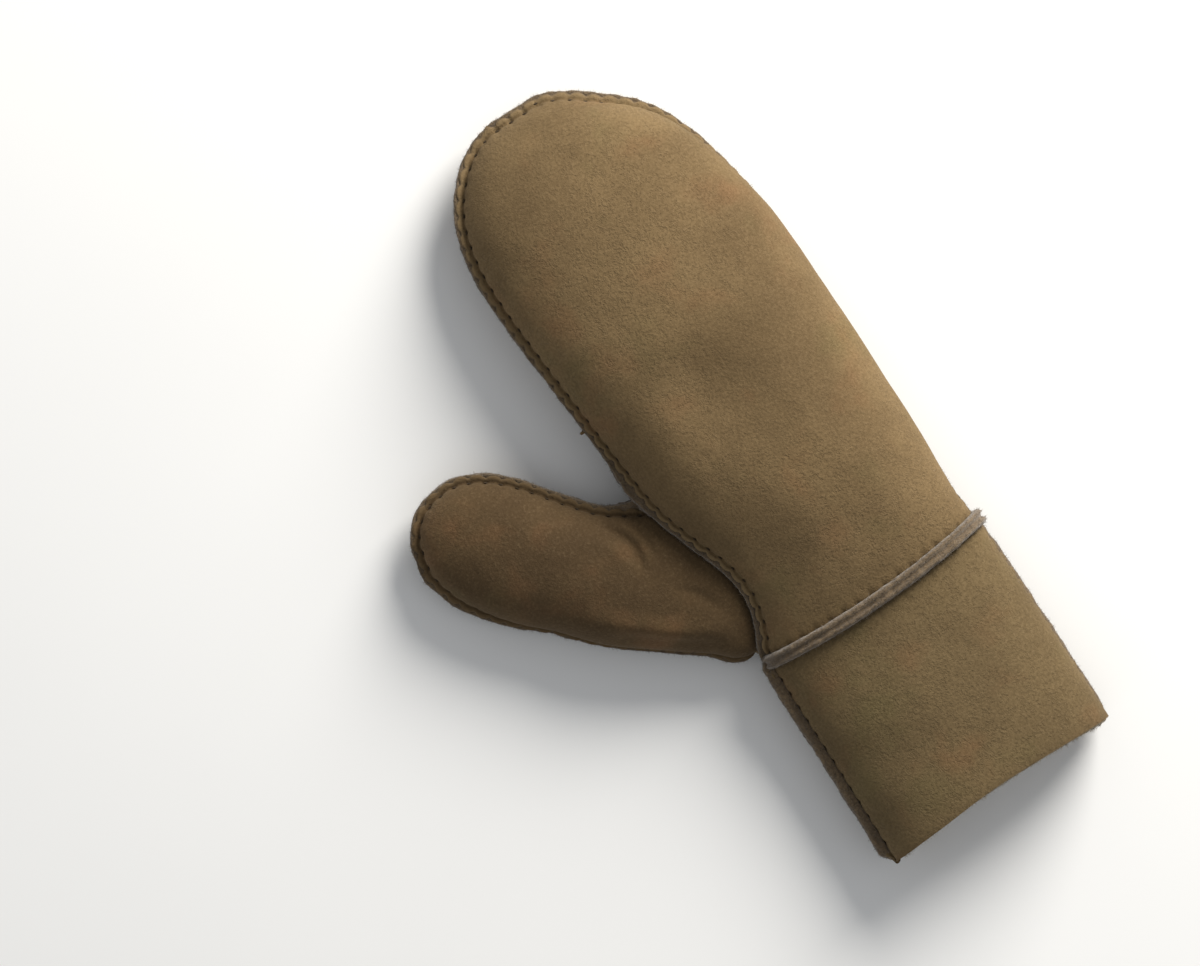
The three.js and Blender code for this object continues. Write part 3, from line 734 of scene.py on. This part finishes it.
thumb_low = low_seam(rows_at(THUMB, spaced(THUMB, 0.95, THUMB_TIP - SOLE_SHORT, 400)))
thumb_high = high_seam(rows_at(THUMB, spaced(THUMB, 1.0, THUMB_TIP - SOLE_SHORT, 400)))
beside_ball = curve(PALM_SEAM[:-1] - (SEAM_HALF * 0.8, SEAM_HALF * 0.5), 300)
below_web = curve(WEB_SEAM + ((0, -2), (1, -2), (2.2, -0.5), (2, 0), (1, -0.5)), 120)
ball_edge = even_line(np.concatenate([beside_ball, below_web[::-1], thumb_high]), BALL_GRID[0])
outer_edge = even_line(np.concatenate([[BALL_CORNER], thumb_low]), BALL_GRID[0])
way_round = np.linspace(0, 1, BALL_GRID[0])
into_tongue = ramp(way_round, 0.14, 0.3) * ramp(way_round, 0.56, 0.44)
middle = (ball_edge + outer_edge) / 2
middle += (TONGUE - middle) * (0.85 * into_tongue)[:, None]
t = crowded(420)[:, None]
ball = ball_edge[:, None] * (1 - t) ** 2 + 2 * middle[:, None] * t * (1 - t) + outer_edge[:, None] * t**2


def thumb_ground(grid):
    """Height of the thumb's under side: a quarter ellipse up to either seam, by the distance from it, and
    the hand's own under side beyond the web."""
    outline = even_line(np.concatenate([thumb_low, thumb_high[::-1]]), 400)
    height = rim(grid, outline, CORNER)
    hand = ground(grid[..., 0], grid[..., 1]) * ramp(grid[..., 1], 148, 160) * ramp(grid[..., 0], -52, -48)
    return np.maximum(height, hand)


ball[..., 2] = thumb_ground(ball)
in_palm = ramp(ball_edge[:, 0], -54, -51)
ball = even_rows(ball, BALL_GRID[1], SEAM_HALF * (1 - in_palm), SEAM_HALF)
ball = over_ridges(ball, [palm_line, web_line, wrist_line])
thumb_front = sewn_skin(
    "thumb_front",
    ball,
    sides(ball.shape[:2], np.nan, LOW_RISE, LOW_RISE, np.where(in_palm > 0, np.nan, HIGH_RISE)),
    sides(ball.shape[:2], 0, UNDER_LIP, UNDER_LIP, UNDER_LIP * (1 - in_palm)),
    thumb_suede_painted_shade,
    seed=41,
    facing=-1,
)
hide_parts("thumb_palm")

# Cuff, back and palm halves
# Two straight pieces of flatter skin, sewn together at the sides and on to the hand at the wrist.
# The hem is a plain cut with no lip, where the wool inside just shows.

# Y of the hem at its left and right end, and how far it bends between them on the back and the palm
HEM = (-1.0, 0.6, 3.2, 2.8)
CUFF_Y = np.array([0.0, 86.0])
CUFF_ROWS = 96
CUFF_LIP = 0.8

cuff_suede = suede("cuff_suede", linear(86, 71, 47), linear(104, 87, 59), linear(113, 96, 69))


def sole(sections, columns):
    """The under side of each section: a quarter ellipse down from the high seam, flat along the floor, and a
    quarter ellipse up to the low seam, in evenly far points from the low seam to the high one."""
    start, end = high_seam(sections), low_seam(sections)
    xy = end[:, None, :2] + (start - end)[:, None, :2] * crowded(420)[:, None]
    grid = np.dstack([xy, ground(xy[..., 0], xy[..., 1])])
    return even_rows(grid, columns, SEAM_HALF, SEAM_HALF)


def cuff_half(surface):
    """A half of the cuff stretched along Y so that its ends follow the wavy hem and the wrist seam."""
    x, y, z = surface[..., 0], surface[..., 1], surface[..., 2]
    share = (y - y[:1]) / (y[-1:] - y[:1])
    hem = line_at(HEM, x, z) + 0.7 * lumps(surface * (1, 0, 1), 24, 5)
    surface[..., 1] = hem * (1 - share) + (line_at(WRIST, x, z) - SEAM_HALF) * share
    return surface


cuff_rows = rows_at(HAND, np.linspace(*place_of(CUFF_Y), CUFF_ROWS))
cuff_top = cuff_half(arch(cuff_rows, 150))
cuff_back = sewn_skin(
    "cuff_back_skin",
    cuff_top,
    sides(cuff_top.shape[:2], np.nan, LOW_RISE, np.nan, HIGH_RISE),
    sides(cuff_top.shape[:2], 0, CUFF_LIP, WRIST_LIP, CUFF_LIP),
    cuff_suede,
    seed=51,
)
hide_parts("cuff_back")

cuff_under = over_ridges(cuff_half(sole(cuff_rows, 112)), [wrist_line])
cuff_palm = sewn_skin(
    "cuff_palm_skin",
    cuff_under,
    sides(cuff_under.shape[:2], np.nan, HIGH_RISE, np.nan, LOW_RISE),
    sides(cuff_under.shape[:2], 0, CUFF_LIP, 0, CUFF_LIP),
    cuff_suede,
    seed=61,
    facing=-1,
)
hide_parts("cuff_palm")

# Seam ridges
# At every seam the wool of both skins is caught between the two lips and bulges out of them, so that two
# rolls of felted wool run side by side with a groove between. Loose fibres stand up all along them.
wool_random = np.random.default_rng(7)
WOOL_STAIN = linear(80, 66, 48)
FIBRE = (1.5, 0.07)  # length and thickness
PRESSED_FLAT = 0.15  # height over the floor of a ridge that lies on it
SWOLLEN = ((0.3, 4.5), (0.22, 1.7), (0.12, 0.8))  # lumps of a ridge: height and size


def wool(name, dark, light):
    """Felted wool: curls as bent streaks of noise, darker between the curls, with a dull soft surface."""
    material, tree, shader, place = new_material(
        name, roughness=1.0, sheen_weight=0.35, sheen_roughness=0.6, specular_ior_level=0.1
    )
    streaks = {"Vector": place, "Scale": 620.0, "Detail": 4.0, "Roughness": 0.65, "Distortion": 1.6}
    curls = add_node(tree, "ShaderNodeTexNoise", streaks).outputs["Fac"]
    colour = blended(tree, stretched(tree, curls, 0.3, 0.68), dark, light)
    stain = stretched(tree, noise(tree, place, 7, 2), 0.45, 0.75, 0, 0.45)
    colour = blended(tree, stain, colour, WOOL_STAIN)
    tree.links.new(colour, shader.inputs["Base Color"])
    tree.links.new(bumped(tree, curls, 0.9, 0.7), shader.inputs["Normal"])
    return material


seam_wool = wool("seam_wool", linear(76, 61, 41), linear(108, 90, 65))
RIDGE_STEP = 0.85
CUFF_RIDGE_Y = np.array([0.4, 88.5])
RIDGE_MIDDLE = 2.5  # height of the middle of a ridge that lies under the mitten


def fibres(roots, away, length, thick):
    """Points and faces of loose fibres: each a thin three-sided spike from its root, leaning at random."""
    count = len(roots)
    lean = unit(away + wool_random.normal(0, 0.65, (count, 3)))
    first = unit(np.cross(lean, wool_random.normal(0, 1, (count, 3))))
    second = np.cross(lean, first)
    angle = np.array([0, 2, 4]) * np.pi / 3
    spoke = first[:, None] * np.cos(angle)[:, None] + second[:, None] * np.sin(angle)[:, None]
    base = roots[:, None] + thick * spoke
    tip = roots + lean * (length * wool_random.uniform(0.4, 1, (count, 1)))
    points = np.concatenate([base, tip[:, None]], axis=1).reshape(-1, 3)
    pattern = np.array([(0, 1, 3), (1, 2, 3), (2, 0, 3), (0, 2, 1)])
    return points, (np.arange(count)[:, None, None] * 4 + pattern).reshape(-1, 3)


def wool_ridge(
    name, at, out, height, width, closed=False, flat=None, fibre_count=9, waist=1.0, tufts=()
):
    """Two rolls of wool side by side: a closed profile, with a groove in the middle of its top, carried
    along the seam. It swells and thins by lumps of three sizes, and tapers to nothing at its open ends. The
    waist is the share of its width left between the lips. At each tuft (X, Y, reach, growth) it grows."""
    if closed:
        way = unit(np.roll(at, -1, axis=0) - np.roll(at, 1, axis=0))
    else:
        way = unit(np.gradient(at, axis=0))
    side = unit(np.cross(way, out))
    up = np.cross(side, way)
    angle = np.linspace(0, 2 * np.pi, 26, endpoint=False)
    across = width / 2 * np.sign(np.cos(angle)) * np.abs(np.cos(angle)) ** 0.8
    groove = 1 - 0.6 * bell(across, 0.13 * width)
    top = np.maximum(np.sin(angle), 0) ** 0.62 * groove
    foot = np.minimum(np.sin(angle), 0) * 0.5
    size = np.ones(len(at))
    if not closed:
        near_end = np.minimum(np.arange(len(at)), np.arange(len(at))[::-1])
        size = np.sqrt(np.clip((near_end + 0.15) / 4, 0, 1))
    for x, y, reach, growth in tufts:
        size = size * (1 + growth * bell(np.hypot(at[:, 0] - x, at[:, 1] - y), reach))
    across = across * (waist + (1 - waist) * ramp(np.sin(angle), 0.1, 0.8))
    sideways = size[:, None] * across
    upward = (size * height)[:, None] * top + foot * size[:, None] + 0.3
    rings = at[:, None] + side[:, None] * sideways[..., None] + up[:, None] * upward[..., None]
    away = unit(side[:, None] * across[:, None] / width + up[:, None] * np.sin(angle)[:, None])
    swell = sum(depth * lumps(rings, lump, 71 + i) for i, (depth, lump) in enumerate(SWOLLEN))
    rings = rings + away * (swell * size[:, None] * np.clip(np.sin(angle) + 0.4, 0, 1))[..., None]
    if flat is not None:
        rings[..., 2] = np.maximum(rings[..., 2], flat)
    shown = np.flatnonzero(np.sin(angle) > -0.1)
    pick = wool_random.integers(0, len(at), fibre_count * len(at))
    spot = wool_random.choice(shown, len(pick))
    leaving = away[pick, spot]
    hair_points, hair_faces = fibres(rings[pick, spot] - 0.1 * leaving, leaving, *FIBRE)
    hair_points[:, 2] = np.maximum(hair_points[:, 2], 0.1)
    ids = numbered(rings)
    faces = quads(np.vstack([ids, ids[:1]]) if closed else ids, looped=True)
    parts = [faces[:, ::-1], hair_faces + ids.size]
    if not closed:
        parts += [ids[:1], ids[-1:, ::-1]]
    points = np.concatenate([rings.reshape(-1, 3), hair_points])
    piece = add_piece(name + "_wool", points, parts, seam_wool)
    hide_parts(name)
    return piece


def outward(points, rises, reach=5):
    """The way the raw edges turn at each place: square to the seam in plan, and up or down by a slope."""
    way = np.gradient(points, axis=0)
    level = unit(np.column_stack([-way[:, 1], way[:, 0]]))
    out = np.column_stack([level * np.cos(rises)[:, None], np.sin(rises)])
    padded = np.pad(out, ((reach, reach), (0, 0)), mode="edge")
    return unit(sum(padded[i : i + len(out)] for i in range(2 * reach + 1)))


def side_ridge(name, up_side, down_side, first_rise, last_rise, **shape):
    """A ridge along one side's seam to the tip and the other side's back, or along one side alone."""
    line = np.concatenate([up_side, down_side])
    rises = np.repeat([first_rise, last_rise], [len(up_side), len(down_side)])
    length = length_at(line)
    places = np.arange(0, length[-1], RIDGE_STEP)
    at = np.column_stack([np.interp(places, length, line[:, c]) for c in range(3)])
    return wool_ridge(name, at, outward(at, np.interp(places, length, rises)), **shape)


hand_side = rows_at(HAND, spaced(HAND, place_of(CUFF_Y[1]), TIP, 300))
side_ridge(
    "hand_seam",
    high_seam(hand_side),
    low_seam(hand_side)[::-1],
    first_rise=HIGH_RISE,
    last_rise=LOW_RISE,
    height=3.4,
    width=3.2,
    waist=0.4,
    tufts=((-51, 168, 11, 0.55),),
)
thumb_side = rows_at(THUMB, spaced(THUMB, 0.97, THUMB_TIP, 200))
side_ridge(
    "thumb_seam",
    low_seam(thumb_side),
    high_seam(thumb_side)[::-1],
    first_rise=LOW_RISE,
    last_rise=HIGH_RISE,
    height=3.3,
    width=3.2,
    waist=0.4,
    tufts=((-56, 157, 9, 0.8),),
)
cuff_side = rows_at(HAND, np.linspace(*place_of(CUFF_RIDGE_Y), 100))
no_way_back = np.empty((0, 3))
for name, seam, rise, height, width in (
    ("cuff_seam_thumb_side", high_seam(cuff_side), HIGH_RISE, 3.8, 4.2),
    ("cuff_seam_finger_side", low_seam(cuff_side)[::-1], LOW_RISE, 3.5, 3.2),
):
    side_ridge(name, seam, no_way_back, rise, 0, height=height, width=width)


def smoothed(values, reach):
    """Each value round a loop becomes the mean of those within reach places of it."""
    return sum(np.roll(values, i, axis=0) for i in range(-reach, reach + 1)) / (2 * reach + 1)


wrist_row = rows_at(HAND, place_of(np.array([WRIST_Y])))
over = arch(wrist_row, 300)[0]
under = sole(wrist_row, 240)[0]
ring = smoothed(np.concatenate([over, under]), 6)
ring[:, 1] = line_at(WRIST, ring[:, 0], ring[:, 2])
ring = even_line(np.concatenate([ring, ring[:1]]), 330)[:-1]
turn = np.roll(ring, -1, axis=0) - np.roll(ring, 1, axis=0)
wrist_out = unit(np.column_stack([-turn[:, 2], 0 * turn[:, 0], turn[:, 0]]))
lying = ramp(ring[:, 2], 4.5, 2.2)
ring[:, 2] = np.maximum(ring[:, 2], RIDGE_MIDDLE * lying)
wool_ridge(
    "wrist_seam", ring, wrist_out, 3.3 - 1.1 * lying, 5.6, closed=True, flat=PRESSED_FLAT, fibre_count=12
)


def palm_ridge(name, line, width):
    """A ridge pressed flat under the palm, turning up with the skin towards the side of the hand."""
    x, y = line[:, 0], line[:, 1]
    at = np.column_stack([x, y, np.maximum(ground(x, y), RIDGE_MIDDLE)])
    slope = ground(x + 0.5, y) - ground(x - 0.5, y)
    out = unit(np.column_stack([np.minimum(slope, 2), 0 * slope, -np.ones(len(at))]))
    return wool_ridge(name, at, out, 2.2, width, flat=PRESSED_FLAT)


palm_ridge("palm_seam", curve(PALM_SEAM, 170)[:-8], 5.0)
palm_ridge("web_seam", curve(WEB_SEAM, 62), 4.4)

# Stitches
# Waxed brown thread in short stitches through both lips, drawn down into the suede at every hole.
thread, tree, shader, place = new_material("thread", roughness=0.75, specular_ior_level=0.3)
strands = {"Vector": place, "Scale": 900.0, "Distortion": 0.8}
twist = add_node(tree, "ShaderNodeTexWave", strands, bands_direction="DIAGONAL").outputs["Fac"]
thread_colour = blended(tree, twist, linear(46, 36, 24), linear(70, 56, 38))
tree.links.new(thread_colour, shader.inputs["Base Color"])
tree.links.new(bumped(tree, twist, 0.6, 0.15), shader.inputs["Normal"])

STITCH_HALF = 1.0  # half its length
STITCH_THICK = 0.34
STITCH_SIDES = 6


def stitch_mesh(centres, way, inward):
    """Every stitch as a short bar with rounded ends: as many rings as sides, swelling from end to middle."""
    along = np.linspace(-1, 1, STITCH_SIDES)
    girth = STITCH_THICK * np.sqrt(np.maximum(1 - along**4, 0.03))
    third = unit(np.cross(way, inward))
    angle = np.arange(STITCH_SIDES) * np.pi / (STITCH_SIDES // 2)
    spoke = inward[:, None] * np.cos(angle)[:, None] + third[:, None] * np.sin(angle)[:, None]
    spine = centres[:, None] + way[:, None] * (along * STITCH_HALF)[:, None]
    points = spine[:, :, None] + spoke[:, None] * girth[:, None, None]
    ids = np.arange(STITCH_SIDES**2).reshape(STITCH_SIDES, STITCH_SIDES)
    pattern = quads(ids, looped=True)
    start = np.arange(len(centres))[:, None, None] * ids.size
    ends = np.stack([ids[0], ids[-1, ::-1]])
    faces = [(start + pattern).reshape(-1, 4), (start + ends).reshape(-1, STITCH_SIDES)]
    return points.reshape(-1, 3), faces


stitch_points, stitch_faces = stitch_mesh(*(np.concatenate(part) for part in zip(*STITCHES)))
add_piece("stitches", stitch_points, [f[:, ::-1] for f in stitch_faces], thread)

# Wool inside
# The clipped wool of the skins, seen in the mouth of the cuff: a soft tube that follows the skin from the
# hem to the fingers' room. Its cut end stands a little out of the hem.
lining_wool = wool("lining_wool", linear(150, 132, 104), linear(196, 178, 148))
LINING_OUT = 1.5  # from the suede's surface in to the wool
LINING_THICK = 2.4
LINING_Y = (-0.6, 284)
TUFTS = 9000
TUFT = (2.2, 0.09)  # length and thickness
TUFT_ROWS = 60  # how far in from the hem they reach, ever fewer

lining_rows = rows_at(HAND, spaced(HAND, *place_of(np.array(LINING_Y)), 150))
upper = arch(lining_rows, 150)
beneath = sole(lining_rows, 110)
tube = np.concatenate([upper, beneath], axis=1)
tube_way = np.roll(tube, -1, axis=1) - np.roll(tube, 1, axis=1)
tube_normal = unit(np.cross(np.gradient(tube, axis=0), tube_way))
inside = np.sign((tube_normal * (tube.mean(axis=1, keepdims=True) - tube)).sum(axis=2, keepdims=True))
tube_in = tube_normal * inside
depth = LINING_OUT + LINING_THICK + 0.5 * lumps(tube, 3.2, 81) + 0.35 * lumps(tube, 1.6, 82)
share = ramp(tube[..., 1], 40, 0)
tube[..., 1] = tube[..., 1] + (line_at(HEM, tube[..., 0], tube[..., 2]) - tube[:1, :, 1] - 0.4) * share
inner = tube + tube_in * depth[..., None]
outer = tube + tube_in * LINING_OUT
inner_ids = numbered(tube)
outer_ids = inner_ids + inner_ids.size
wall_faces = quads(np.concatenate([inner_ids[::-1], outer_ids]), looped=True)
ends = [inner_ids[-1:], outer_ids[-1:, ::-1]]
tuft_at = wool_random.integers(0, tube.shape[1], TUFTS)
tuft_row = (wool_random.uniform(0, 1, TUFTS) ** 2 * TUFT_ROWS).astype(int)
tuft_way = tube_in[tuft_row, tuft_at] + (0, -0.5, 0)
tuft_points, tuft_faces = fibres(inner[tuft_row, tuft_at], tuft_way, *TUFT)
lining = add_piece(
    "wool_lining",
    np.concatenate([inner.reshape(-1, 3), outer.reshape(-1, 3), tuft_points]),
    [wall_faces, *ends, tuft_faces + 2 * inner_ids.size],
    lining_wool,
)

# Floor, light and camera
# A plain pale floor, one broad lamp from the upper right of the picture, and an even pale sky.
floor_mesh = bpy.data.meshes.new("floor")
floor_mesh.from_pydata([(-4, -4, 0), (4, -4, 0), (4, 4, 0), (-4, 4, 0)], [], [(0, 1, 2, 3)])
floor = bpy.data.objects.new("floor", floor_mesh)
bpy.context.collection.objects.link(floor)
paper, tree, shader, place = new_material("paper", roughness=0.9)
paper_colour = blended(tree, noise(tree, place, 60, 3), (0.8, 0.8, 0.79, 1), (0.83, 0.83, 0.82, 1))
tree.links.new(paper_colour, shader.inputs["Base Color"])
floor_mesh.materials.append(paper)

scene = bpy.context.scene
scene.view_settings.view_transform = "Standard"
world = bpy.data.worlds.new("sky")
world.use_nodes = True
sky = world.node_tree.nodes["Background"]
sky.inputs["Color"].default_value = (0.95, 0.97, 1.0, 1)
sky.inputs["Strength"].default_value = 0.46
scene.world = world

key = bpy.data.lights.new("key", "AREA")
key.shape = "DISK"
key.size = 0.9
key.energy = 46
key.color = (1.0, 0.97, 0.92)
key_lamp = bpy.data.objects.new("key", key)
key_lamp.location = (1.21, 0.625, 0.69)
key_lamp.rotation_euler = (-key_lamp.location).to_track_quat("-Z", "Y").to_euler()
bpy.context.collection.objects.link(key_lamp)

LENS = 150
SENSOR = 36
VIEW_WIDTH = 0.4457  # metres across the picture at the height of the outline
VIEW_CENTRE = (-0.0191, 0.0212)
OUTLINE_HEIGHT = 0.015
ROLL = math.radians(-33)
camera_data = bpy.data.cameras.new("camera")
camera_data.lens = LENS
camera_data.sensor_width = SENSOR
camera = bpy.data.objects.new("camera", camera_data)
camera.location = (*VIEW_CENTRE, OUTLINE_HEIGHT + VIEW_WIDTH * LENS / SENSOR)
camera.rotation_euler = (0, 0, ROLL)
bpy.context.collection.objects.link(camera)
scene.camera = camera
